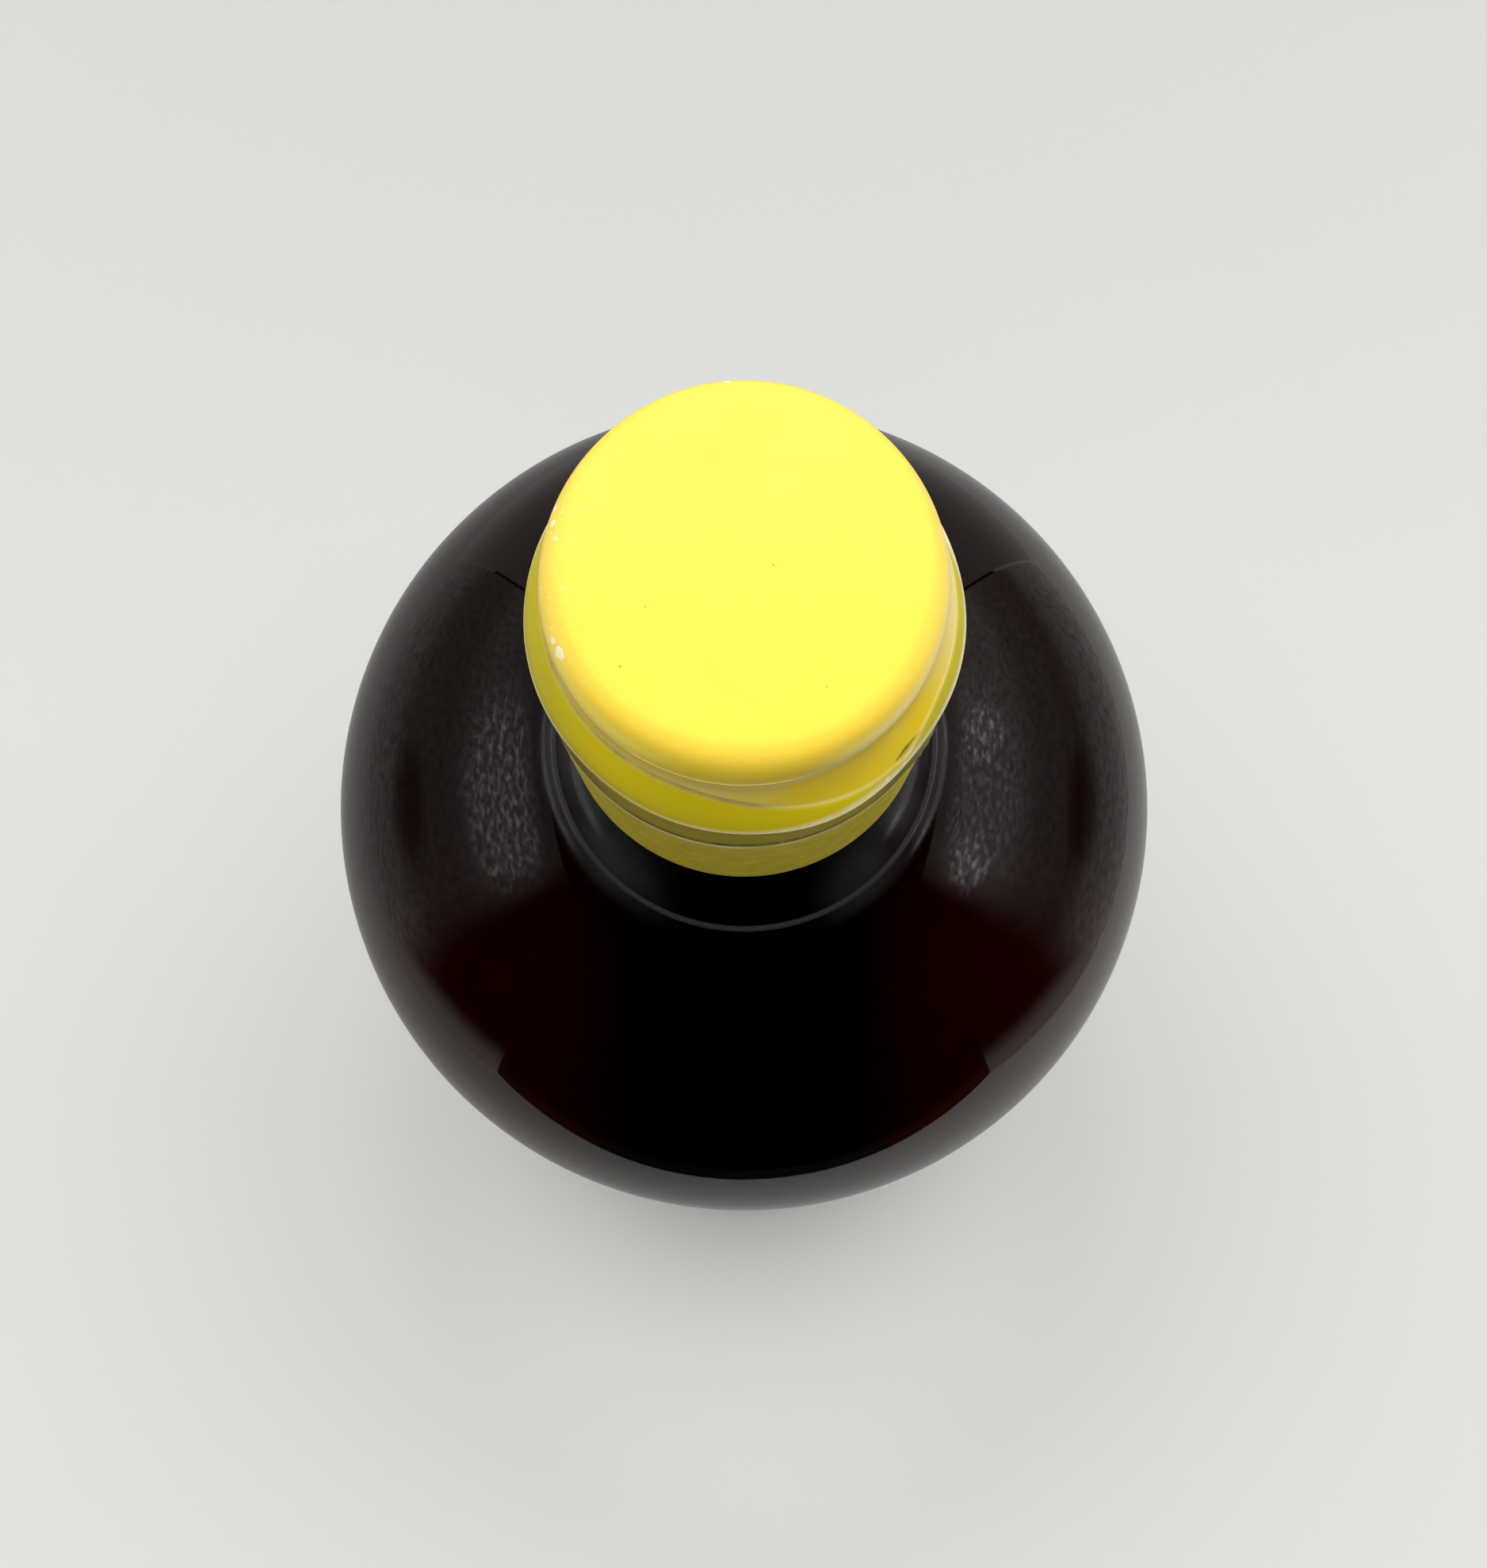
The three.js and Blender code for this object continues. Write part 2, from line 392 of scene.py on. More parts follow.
def skirt_radius(degrees, depth):
    """Radius of the skirt in millimetres, with the crease, the dent and the rolled lip."""
    ridge = ridge_at(degrees)
    collar = (COLLAR_DEPTH, COLLAR)
    on_ridge = RIDGE_LEFT_END <= degrees <= RIDGE_END
    down = ramp(degrees, *RIDGE_SINKS) if on_ridge else 0
    crease = bell(depth, ridge[0] + 0.15, 0.16) * (1 - 1.5 * down) * ramp(abs(degrees), 120, 75)
    if depth <= ridge[0]:
        radius = hollow(depth, (groove_top(degrees), CAP_RADIUS), ridge, GROOVE_DIP * down)
    else:
        t = ramp(depth, ridge[0], collar[0])
        flared = ridge[1] + (collar[1] - ridge[1]) * (1 - (1 - t) ** 1.6)
        curved = hollow(depth, ridge, collar, GROOVE_DIP)
        radius = flared + (curved - flared) * ramp(abs(degrees), RIDGE_RUNS_OUT, RIDGE_END)
    nick = NICK_DEPTH * nick_at(degrees, depth) - NICK_RIM * rim_at(degrees, depth)
    roll = LIP_ROLL * ramp(depth, COLLAR_DEPTH - 0.6, COLLAR_DEPTH)
    return radius - CREASE * crease - nick + roll


def skirt_depth(degrees, share):
    """Depth of a row of points: evenly spread at the back, crowded along the edges in front."""
    ridge = ridge_at(degrees)[0]
    even = GROOVE_START + (COLLAR_DEPTH - GROOVE_START) * share
    if share < SHARE_ABOVE_RIDGE:
        t = math.sin(math.pi / 2 * share / SHARE_ABOVE_RIDGE) ** 2
        follow = GROOVE_START + (ridge - GROOVE_START) * t
    else:
        below = (share - SHARE_ABOVE_RIDGE) / (1 - SHARE_ABOVE_RIDGE)
        t = math.sin(math.pi / 2 * below) ** 2
        follow = ridge + (COLLAR_DEPTH - ridge) * t
    front = ramp(abs(degrees), RIDGE_RUNS_OUT, 80)
    return even + (follow - even) * front


def edge_rounding(degrees):
    """The edge of the disc is rounder in front than at the back, in millimetres."""
    front = ROUNDER_IN_FRONT * bell(degrees, -10, 38)
    return EDGE_ROUNDING + front - SHARPER_AT_BACK * ramp(abs(degrees), 100, 165)


def lip_swell(degrees):
    """How far the torn lip stands out or in from a true circle: bumps of (size, place, width)."""
    return sum(size * bell(degrees, at, width) for size, at, width in LIP_BUMPS)


# %% [markdown]
# ### Turning the cap
#
# The sheet is 0.6 mm thick, so the profile runs down the inside, round the torn edge, up the
# plain skirt, and over the rounded edge to the middle of the disc. The skirt gets many rings,
# because its groove is pressed into them afterwards.

# %% Turn the cap
CAP_SIDES = 288
SKIRT_ROWS = 52
EDGE_ROWS = 14
DISC_ROWS = 10
EDGE_CENTRE = CAP_RADIUS - EDGE_ROUNDING
INNER_CORNER = 2.0
SHEET = 0.6


def mm_profile(points):
    """Profile points given as (radius, depth below the top), both in millimetres."""
    return [(radius * MM, below_top(depth)) for radius, depth in points]


def cap_profile():
    """The cap's inside, torn edge, plain skirt, rounded edge and disc."""
    inside = [
        (0, SHEET),
        (6, SHEET),
        (CAP_RADIUS - INNER_CORNER, SHEET),
        (CAP_RADIUS - SHEET - 0.15, INNER_CORNER),
        (CAP_RADIUS - SHEET - 0.1, 7.2),
        (CAP_RADIUS + 0.15, 9.6),
        (COLLAR - 0.7, 11.2),
        (COLLAR - 0.5, 11.85),
        (COLLAR - 0.3, 11.9),
        (COLLAR - 0.12, 11.85),
        (COLLAR - 0.03, 11.7),
        (COLLAR, 11.5),
    ]
    skirt = []
    for i in range(SKIRT_ROWS + 1):
        t = i / SKIRT_ROWS
        skirt.append((COLLAR, COLLAR_DEPTH + (GROOVE_START - COLLAR_DEPTH) * t))
    edge = [
        (EDGE_CENTRE + EDGE_ROUNDING * math.cos(a), EDGE_ROUNDING * (1 - math.sin(a)))
        for a in (math.radians(90 * i / EDGE_ROWS) for i in range(1, EDGE_ROWS + 1))
    ]
    disc = [(EDGE_CENTRE * (1 - i / DISC_ROWS), 0) for i in range(1, DISC_ROWS)]
    return mm_profile(inside + skirt + edge + disc + [(0, 0)])


cap = turned("cap_shell", cap_profile(), CAP_SIDES)

# %% [markdown]
# ### Pressing the groove
#
# Every point of the skirt moves to its place. At the same time it is told how far it belongs to
# the crease, the groove, the cove below the ridge, the lip and the dent. The lacquer reads these
# values later, so that paint and shape always agree.

# %% Press the groove into the skirt
PAINT_ZONES = ("crease", "groove", "cove", "lip", "nick")


def zone_layers(mesh):
    """One value per point for each paint zone, for the finish to read later."""
    for zone in PAINT_ZONES:
        mesh.attributes.new(zone, "FLOAT", "POINT")
    return {zone: mesh.attributes[zone].data for zone in PAINT_ZONES}


def place(vertex, radius, depth):
    """Moves a point to a radius and a depth in millimetres, and keeps its angle."""
    scale = radius * MM / math.hypot(vertex.co.x, vertex.co.y)
    vertex.co.x *= scale
    vertex.co.y *= scale
    vertex.co.z = below_top(depth)


def on_rounded_edge(radius, depth):
    """Whether a point of the turned cap lies on the rounding between disc and skirt."""
    from_centre = math.hypot(radius - EDGE_CENTRE, EDGE_ROUNDING - depth)
    return radius > EDGE_CENTRE - 0.01 and abs(from_centre - EDGE_ROUNDING) < 0.01


zones = zone_layers(cap.data)
pressed = 0
for vertex in cap.data.vertices:
    radius = math.hypot(vertex.co.x, vertex.co.y) / MM
    plain_depth = (CAP_TOP - vertex.co.z) / MM
    degrees = math.degrees(math.atan2(vertex.co.x, -vertex.co.y))
    if radius > COLLAR - 0.02 and GROOVE_START - 0.01 <= plain_depth <= COLLAR_DEPTH + 0.01:
        share = ramp(plain_depth, GROOVE_START, COLLAR_DEPTH)
        depth = skirt_depth(degrees, share)
        ridge = ridge_at(degrees)
        reach = ramp(depth, COLLAR_DEPTH - 3, COLLAR_DEPTH) ** 2
        place(vertex, skirt_radius(degrees, depth) + lip_swell(degrees) * reach, depth)
        golden = ramp(degrees, -18, 15) * ramp(degrees, 86, 60)
        top = groove_top(degrees)
        lip_width = 0.5 + 0.6 * ramp(degrees, 0, 45)
        on_lip = ramp(depth, COLLAR_DEPTH - lip_width, COLLAR_DEPTH)
        # The lip zone marks the pale lip, partly rubbed wear and partly a painted highlight, and at
        # 0.6 the dent's raised rim, a painted highlight.
        told = {
            "crease": bell(depth, ridge[0] + 0.2, 0.22),
            "groove": golden * ramp(depth, top + 0.2, top + 1.2),
            "cove": ramp(depth, ridge[0] - 0.1, ridge[0] + 0.7),
            "lip": max(on_lip, 0.6 * rim_at(degrees, depth)),
            "nick": min(1, 1.6 * nick_at(degrees, depth)),
        }
        for name, value in told.items():
            zones[name][vertex.index].value = value
        pressed += 1
    elif on_rounded_edge(radius, plain_depth):
        steep = math.atan2(EDGE_ROUNDING - plain_depth, radius - EDGE_CENTRE)
        rounding = edge_rounding(degrees)
        inwards, down = rounding * (1 - math.cos(steep)), rounding * (1 - math.sin(steep))
        place(vertex, CAP_RADIUS - inwards, down)
    elif radius > COLLAR - 0.75 and plain_depth > COLLAR_DEPTH:
        place(vertex, radius + lip_swell(degrees), plain_depth)
        zones["lip"][vertex.index].value = 1
cap.data.update()
print(f"Pressed {pressed} points of the skirt")
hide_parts("screw_cap")
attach(cap, "root")

# %% [markdown]
# ## The band
#
# The band was the lower half of the cap. The small bridges between the two tore when the bottle
# was first opened, and the band stays on the neck. An upright strip shows under the cap's flared
# edge, a fine groove ends it, and the rest tapers down to a foot that was rolled in under the
# glass. The upper edge was left ragged where it tore, most of all on the right.

# %% Turn the band
BAND_SIDES = 320
BAND_TOP = 12.5
BAND_INNER = 15.75
BAND_FOOT = 39.0
GROOVE_DEPTH = 18.6
STRIP_ROWS = 10
TAPER_ROWS = 16


def band_profile():
    """The band's inside, rolled foot, taper, fine groove and upright strip."""
    strip = [
        (16.88 + 0.07 * i / STRIP_ROWS, GROOVE_DEPTH - 0.3 - 5.4 * i / STRIP_ROWS)
        for i in range(1, STRIP_ROWS + 1)
    ]
    taper = [
        (16.4 + 0.47 * i / TAPER_ROWS, 38.1 - 19.0 * i / TAPER_ROWS)
        for i in range(1, TAPER_ROWS + 1)
    ]
    return mm_profile(
        [(BAND_INNER, BAND_TOP), (BAND_INNER, 38.5), (BAND_INNER + 0.2, BAND_FOOT)]
        + [(16.15, BAND_FOOT), (16.32, 38.8), (16.4, 38.1)]
        + taper
        + [(16.85, 19.0), (16.76, 18.86), (16.6, 18.66), (16.62, 18.5), (16.86, 18.4)]
        + [(16.88, 18.3)]
        + strip
        + [(16.93, 12.6), (16.84, BAND_TOP)]
    )


band = turned("band_ring", band_profile(), BAND_SIDES)

# %% [markdown]
# ### The torn bits
#
# Where the bridges tore on the right, the strip was pulled outwards, and its face is ragged. One
# wide soft bump pulls the strip out, and a row of small ones, each a place and a size, gives the
# ragged bits. The same list tells the lacquer where bare metal shows.

# %% Bend the torn bits outwards
BIT_PULL = 0.45
STRIP_PULL = 0.24
TORN_BITS = (
    ((63, 17.0, 13.2), 0.2), ((60, 17.0, 14.2), 0.24), ((57, 17.0, 14.8), 0.3),
    ((54, 17.0, 15.6), 0.24), ((51, 17.0, 16.6), 0.2), ((-62, 17.0, 12.9), 0.2),
)
bent = 0
for vertex in band.data.vertices:
    radius = math.hypot(vertex.co.x, vertex.co.y) / MM
    depth = (CAP_TOP - vertex.co.z) / MM
    degrees = math.degrees(math.atan2(vertex.co.x, -vertex.co.y))
    out = sum(
        size * bell(degrees, at[0], 1.3) * bell(depth, at[2], 0.55) for at, size in TORN_BITS
    )
    swollen = STRIP_PULL * bell(degrees, 55, 8) * bell(depth, 15, 2.4)
    if radius > 16.8 and out + swollen > 0.01:
        place(vertex, radius + BIT_PULL * out + swollen, depth)
        bent += 1
band.data.update()
print(f"Bent {bent} points of the band")
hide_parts("tamper_band")
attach(band, "root")

# %% [markdown]
# ## Finishes
#
# Each material is made from nodes that read the piece's own coordinates, so nothing slides when
# the camera moves. Numbers that are the same all over sit on the shader's own sockets.

# %% Material helpers
def new_material(name, kind="ShaderNodeBsdfPrincipled"):
    """A material with one shader: the material, its node tree, the shader and the output."""
    material = bpy.data.materials.new(name)
    material.use_nodes = True
    tree = material.node_tree
    tree.nodes.clear()
    output = tree.nodes.new("ShaderNodeOutputMaterial")
    shader = tree.nodes.new(kind)
    tree.links.new(shader.outputs[0], output.inputs["Surface"])
    return material, tree, shader, output


def object_axes(tree):
    """The x, y and z of each place, in the piece's own coordinates."""
    coordinates = tree.nodes.new("ShaderNodeTexCoord")
    split = tree.nodes.new("ShaderNodeSeparateXYZ")
    tree.links.new(coordinates.outputs["Object"], split.inputs["Vector"])
    return [split.outputs[axis] for axis in "XYZ"]


def object_noise(tree, scale, detail=3.0, roughness=0.5):
    """A noise that sits on the piece; a scale of 100 gives grains about 10 mm wide."""
    coordinates = tree.nodes.new("ShaderNodeTexCoord")
    noise = tree.nodes.new("ShaderNodeTexNoise")
    noise.inputs["Scale"].default_value = scale
    noise.inputs["Detail"].default_value = detail
    noise.inputs["Roughness"].default_value = roughness
    tree.links.new(coordinates.outputs["Object"], noise.inputs["Vector"])
    return noise.outputs["Fac"]


def spread(tree, value, low, high):
    """Maps a noise value from its middle range to low..high."""
    mapping = tree.nodes.new("ShaderNodeMapRange")
    mapping.inputs["From Min"].default_value = 0.3
    mapping.inputs["From Max"].default_value = 0.7
    mapping.inputs["To Min"].default_value = low
    mapping.inputs["To Max"].default_value = high
    tree.links.new(value, mapping.inputs["Value"])
    return mapping.outputs["Result"]


def mix_colours(tree, factor, first, second):
    """The first colour where the factor is 0, the second where it is 1."""
    mix = tree.nodes.new("ShaderNodeMix")
    mix.data_type = "RGBA"
    tree.links.new(factor, mix.inputs["Factor"])
    for socket, colour in ((mix.inputs["A"], first), (mix.inputs["B"], second)):
        if isinstance(colour, tuple):
            socket.default_value = (*colour, 1)
        else:
            tree.links.new(colour, socket)
    return mix.outputs["Result"]


def maths(tree, operation, first, second):
    """One sum of two values, each a number or another node's output."""
    node = tree.nodes.new("ShaderNodeMath")
    node.operation = operation
    for socket, value in zip(node.inputs, (first, second)):
        if isinstance(value, (int, float)):
            socket.default_value = value
        else:
            tree.links.new(value, socket)
    return node.outputs["Value"]


def smooth_step(tree, value, start, end, low, high):
    """Goes softly from low to high while the value goes from start to end."""
    step = tree.nodes.new("ShaderNodeMapRange")
    step.interpolation_type = "SMOOTHSTEP"
    for name, number in (("From Min", start), ("From Max", end), ("To Min", low), ("To Max", high)):
        step.inputs[name].default_value = number
    tree.links.new(value, step.inputs["Value"])
    return step.outputs["Result"]


def times(tree, first, second):
    return maths(tree, "MULTIPLY", first, second)


def to_sides(tree, x, start_mm, end_mm):
    """0 near the middle, going softly to 1 on the left and on the right."""
    aside = maths(tree, "ABSOLUTE", x, 0)
    return smooth_step(tree, aside, start_mm * MM, end_mm * MM, 0, 1)


def add_bump(tree, shader, height, strength, distance):
    bump = tree.nodes.new("ShaderNodeBump")
    bump.inputs["Strength"].default_value = strength
    bump.inputs["Distance"].default_value = distance
    tree.links.new(height, bump.inputs["Height"])
    tree.links.new(bump.outputs["Normal"], shader.inputs["Normal"])


# %% [markdown]
# Bottle glass is clear, but blown into a mould it is never quite even: its face is slightly wavy
# at the scale of a fingertip, and handling leaves faint smudges that blur the mirror a little.
# The neck is where a hand grips it, so it is duller there. At its sides and along the crown of its
# ring the glass lets less light through and shows grey: a painted reflection of the side walls, and
# a painted highlight on the ring. Where rum wets the glass the mirror is taken away.

# %% Glass
GLASS_TINTS = ((0.955, 0.975, 0.965), (0.975, 0.985, 0.98))
NECK_RUB = 0.05
NECK_SIDE_REFLECTION = (0.01, 0.035)
RING_HIGHLIGHT = 0.035


def glass_material(name, mirrored):
    """Bottle glass that mirrors fully where `mirrored` is 1 and not at all where it is 0."""
    material, tree, shader, _ = new_material(name)
    shader.inputs["Specular Tint"].default_value = (mirrored, mirrored, mirrored, 1)
    shader.inputs["IOR"].default_value = 1.5
    colour = mix_colours(tree, object_noise(tree, 30), *GLASS_TINTS)
    tree.links.new(colour, shader.inputs["Base Color"])
    x, y, z = object_axes(tree)
    smudge = spread(tree, object_noise(tree, 60, 4), 0.0, 0.05)
    at_neck = smooth_step(tree, z, below_top(56.5), below_top(55.8), 0, 1)
    rubbed = times(tree, at_neck, NECK_RUB)
    tree.links.new(maths(tree, "ADD", smudge, rubbed), shader.inputs["Roughness"])
    # Painted reflection: at the neck's sides the glass lets a little less light through and shows
    # grey, standing in for the side walls it mirrors.
    side_reflection = to_sides(tree, x, 5, 14)
    side_reflection_amount = spread(tree, object_noise(tree, 150, 4), *NECK_SIDE_REFLECTION)
    side_reflection = times(tree, side_reflection, side_reflection_amount)
    # Painted highlight: a thin grey line along the crown of the neck ring.
    crown = smooth_step(tree, z, below_top(55.72), below_top(55.64), 0, RING_HIGHLIGHT)
    across = maths(tree, "POWER", x, 2)
    along = maths(tree, "POWER", y, 2)
    from_axis = maths(tree, "POWER", maths(tree, "ADD", across, along), 0.5)
    on_ring = smooth_step(tree, from_axis, 18.5 * MM, 18.7 * MM, 0, 1)
    crown = times(tree, crown, on_ring)
    # The two painted marks together take light away from the glass's transmission.
    sheen_mask = maths(tree, "MAXIMUM", side_reflection, crown)
    sheen_mask = times(tree, sheen_mask, at_neck)
    tree.links.new(maths(tree, "SUBTRACT", 1, sheen_mask), shader.inputs["Transmission Weight"])
    wave = object_noise(tree, 55, 1)
    add_bump(tree, shader, wave, 0.15, 0.0006)
    return material


bottle.data.materials.append(glass_material("clear_bottle_glass", 1))
bottle.data.materials.append(glass_material("wetted_bottle_glass", 0))
wetted = 0
for face in bottle.data.polygons:
    towards_axis = face.normal.x * face.center.x + face.normal.y * face.center.y < 0
    over_bottom = face.normal.z > 0.5 and face.center.z < 2 * PUNT_RISE + BOTTOM_THICKNESS
    deep = BOTTOM_THICKNESS - 0.1 * MM < face.center.z < RUM_LEVEL
    if deep and (towards_axis or over_bottom):
        face.material_index = 1
        wetted += 1
print(f"{wetted} faces of the glass are wet")

# %% [markdown]
# Dark rum is clear too, but it takes nearly all the light on its way through: blue first, then
# green, and red last. The faint red glow at the left and right of the shoulder, where light comes
# in
# from the lit sides, is painted: the rum's colour turns red towards its sides, while the front
# stays black.

# %% Rum
RUM_PASSES = (0.63, 0.15, 0.0, 1)
RUM_DENSITY = 300
RUM_CLEAR = 0.86
RUM_BLACK = (0.02, 0.001, 0.001)
RUM_PAINTED_GLOW = ((0.95, 0.04, 0.025), (1, 0.05, 0.03))


def rum_material():
    """A liquid that is nearly black in front, with a painted red glow at its sides."""
    material, tree, shader, output = new_material("dark_rum")
    shader.inputs["Transmission Weight"].default_value = RUM_CLEAR
    shader.inputs["Specular Tint"].default_value = (0, 0, 0, 1)
    shader.inputs["IOR"].default_value = 1.36
    painted_glow = mix_colours(tree, object_noise(tree, 25, 3), *RUM_PAINTED_GLOW)
    x, y, _ = object_axes(tree)
    to_side = to_sides(tree, x, 9, 20)
    ahead = smooth_step(tree, y, -24 * MM, -4 * MM, 1, 0.35)
    # Painted glow: the red share grows towards the sides and fades in front.
    share = times(tree, to_side, ahead)
    colour = mix_colours(tree, share, RUM_BLACK, painted_glow)
    tree.links.new(colour, shader.inputs["Base Color"])
    cloud = object_noise(tree, 40)
    tree.links.new(spread(tree, cloud, 0.0, 0.03), shader.inputs["Roughness"])
    absorption = tree.nodes.new("ShaderNodeVolumeAbsorption")
    absorption.inputs["Color"].default_value = RUM_PASSES
    absorption.inputs["Density"].default_value = RUM_DENSITY
    tree.links.new(absorption.outputs["Volume"], output.inputs["Volume"])
    return material


rum.data.materials.append(rum_material())
print(f"The rum takes light in at a density of {RUM_DENSITY} per metre")

# %% [markdown]
# The lacquer on cap and band is lemon yellow. On the disc a painted sheen makes it paler towards
# the back, where it faces the lamp cloth. In the hollow under the ridge it is painted darker and
# richer, as painted shade, and the lip is pale, partly rubbed wear and partly a painted highlight.
# Along the crease a line is painted dark on the left, as painted shade, and pale on the right, as a
# painted highlight. Age shows in chips that reach the white primer on the rounded edge, and in a
# few dark specks. Chips and specks are drawn round named places, and a noise makes their outlines
# ragged.

# %% Spots on a painted face
def spot(tree, place_mm, size_mm, ragged=0.5):
    """1 inside a ragged spot round a place, given as (degrees, radius, depth), else 0."""
    degrees, radius, depth = place_mm
    angle = math.radians(degrees)
    coordinates = tree.nodes.new("ShaderNodeTexCoord")
    distance = tree.nodes.new("ShaderNodeVectorMath")
    distance.operation = "DISTANCE"
    distance.inputs[1].default_value = (
        radius * MM * math.sin(angle), -radius * MM * math.cos(angle), below_top(depth)
    )
    tree.links.new(coordinates.outputs["Object"], distance.inputs[0])
    edge = spread(tree, object_noise(tree, 1300, 3, 0.6), 1 - ragged, 1 + ragged)
    reach = times(tree, edge, size_mm * MM)
    return maths(tree, "LESS_THAN", distance.outputs["Value"], reach)


def any_of(tree, places, ragged=0.5):
    """1 inside any of the spots, each given as a place and a size."""
    result = 0
    for at, size in places:
        result = maths(tree, "MAXIMUM", result, spot(tree, at, size, ragged))
    return result


def painted(tree, colour, layers):
    """The colour with layers on top, each given as where it lies and its own colour."""
    for where, over in layers:
        colour = mix_colours(tree, where, colour, over)
    return colour


def zone(tree, name, strength=1.0):
    """How far a place belongs to a paint zone, as told when the groove was pressed."""
    layer = tree.nodes.new("ShaderNodeAttribute")
    layer.attribute_name = name
    return times(tree, layer.outputs["Fac"], strength)


def finish_lacquer(tree, shader, roughness, gloss):
    """The lacquer's sheen, a little uneven, and its fine orange peel."""
    sheen_mask = object_noise(tree, 500, 3)
    sheen = spread(tree, sheen_mask, roughness - 0.05, roughness + 0.05)
    tree.links.new(sheen, shader.inputs["Roughness"])
    shader.inputs["Specular IOR Level"].default_value = gloss
    peel = object_noise(tree, 1800, 2)
    add_bump(tree, shader, peel, 0.2, 0.00004)


# %% Lacquer of the cap
CHIPS = (
    ((-111, 14.9, 1.1), 0.3), ((-106, 14.6, 0.8), 0.26), ((-67, 14.6, 0.8), 0.42),
    ((-71, 14.7, 0.9), 0.3), ((-175, 15.0, 0.6), 0.3), ((42, 16.9, 10.9), 0.22),
    ((46, 16.9, 10.8), 0.2), ((40, 16.9, 10.7), 0.18),
)
SPECKS = (
    ((-52, 11.3, 0), 0.11), ((35, 10.3, 0), 0.09), ((24, 14.7, 0.9), 0.11),
    ((107, 2.2, 0), 0.08), ((-71, 7.6, 0), 0.08),
)
LEMON_IN_FRONT, LEMON_WITH_SHEEN_AT_BACK = (0.93, 0.665, 0.058), (0.93, 0.69, 0.11)
LEMON_CLOUD = (0.95, 0.635, 0.07)
EDGE_SHADED_IN_FRONT, EDGE_AT_SIDE = (0.72, 0.52, 0.028), (0.93, 0.7, 0.11)
TAN_LEFT, TAN_WITH_SHEEN_RIGHT = (0.98, 0.77, 0.14), (0.95, 0.77, 0.26)
GROOVE_GOLD = (0.96, 0.68, 0.012)
COVE_SHADED_IN_FRONT, COVE_SHADED_AT_SIDE = (0.76, 0.612, 0.002), (0.6, 0.52, 0.02)
LACQUER_MOTTLE = (0.84, 0.62, 0.05)
LIP_WEAR_AND_HIGHLIGHT = (1, 0.94, 0.7)
CREASE_SHADE_LEFT, CREASE_HIGHLIGHT_RIGHT = (0.22, 0.2, 0.13), (0.95, 0.8, 0.3)
DENT_SHADE = (0.2, 0.16, 0.01)
PALE_FLECK = (0.95, 0.84, 0.45)
PRIMER = (0.94, 0.87, 0.6)
DARK_SPECK = (0.5, 0.4, 0.06)
CAP_ROUGHNESS = 0.33
CAP_GLOSS = 0.25


def disc_colour(tree, y):
    """Lemon yellow, with a painted sheen that makes it paler towards the back, and a little cloudy.
    """
    # Painted sheen: paler, whiter lemon towards the back, where the lacquer mirrors the lamp cloth.
    sheen_to_back = smooth_step(tree, y, -13 * MM, 13 * MM, 0, 1)
    lemon = mix_colours(tree, sheen_to_back, LEMON_IN_FRONT, LEMON_WITH_SHEEN_AT_BACK)
    cloudy = spread(tree, object_noise(tree, 140, 5, 0.65), 0, 0.7)
    return mix_colours(tree, cloudy, lemon, LEMON_CLOUD)


def skirt_colour(tree, x, y, z):
    """Golden on the rounded edge, darker in front as painted shade and creamier at the sides, and
    tan on the wall, whiter on the right as a painted sheen.
    """
    # Painted shade: the rounded edge is darker golden in front, since the light comes from behind.
    to_side = smooth_step(tree, y, -13 * MM, -4 * MM, 0, 1)
    edge = mix_colours(tree, to_side, EDGE_SHADED_IN_FRONT, EDGE_AT_SIDE)
    # Painted sheen: the tan is whiter on the right, towards the brighter wall.
    to_right = smooth_step(tree, x, -8 * MM, 8 * MM, 0, 1)
    tan = mix_colours(tree, to_right, TAN_LEFT, TAN_WITH_SHEEN_RIGHT)
    low = smooth_step(tree, z, below_top(3.2), below_top(1.6), 1, 0)
    higher = smooth_step(tree, z, below_top(1.6), below_top(0.6), 1, 0)
    higher = times(tree, higher, to_sides(tree, x, 3, 11))
    return mix_colours(tree, maths(tree, "MAXIMUM", low, higher), edge, tan)


def cove_colour(tree, x):
    """Painted shade in the hollow under the ridge: a rich, darker yellow in front, darker and
    greener where the cove turns to the sides.
    """
    # Painted shade in the hollow under the ridge, deeper at the sides.
    return mix_colours(tree, to_sides(tree, x, 10, 15.5), COVE_SHADED_IN_FRONT, COVE_SHADED_AT_SIDE)


def pale_flecks(tree, x, z):
    """Flecks scattered along the left of the rounded edge."""
    grain = object_noise(tree, 1700, 3, 0.7)
    flecks = maths(tree, "GREATER_THAN", grain, 0.64)
    on_edge = smooth_step(tree, z, below_top(2.2), below_top(1.2), 0, 1)
    on_left = smooth_step(tree, x, -11 * MM, -13.5 * MM, 0, 0.7)
    return times(tree, flecks, times(tree, on_edge, on_left))


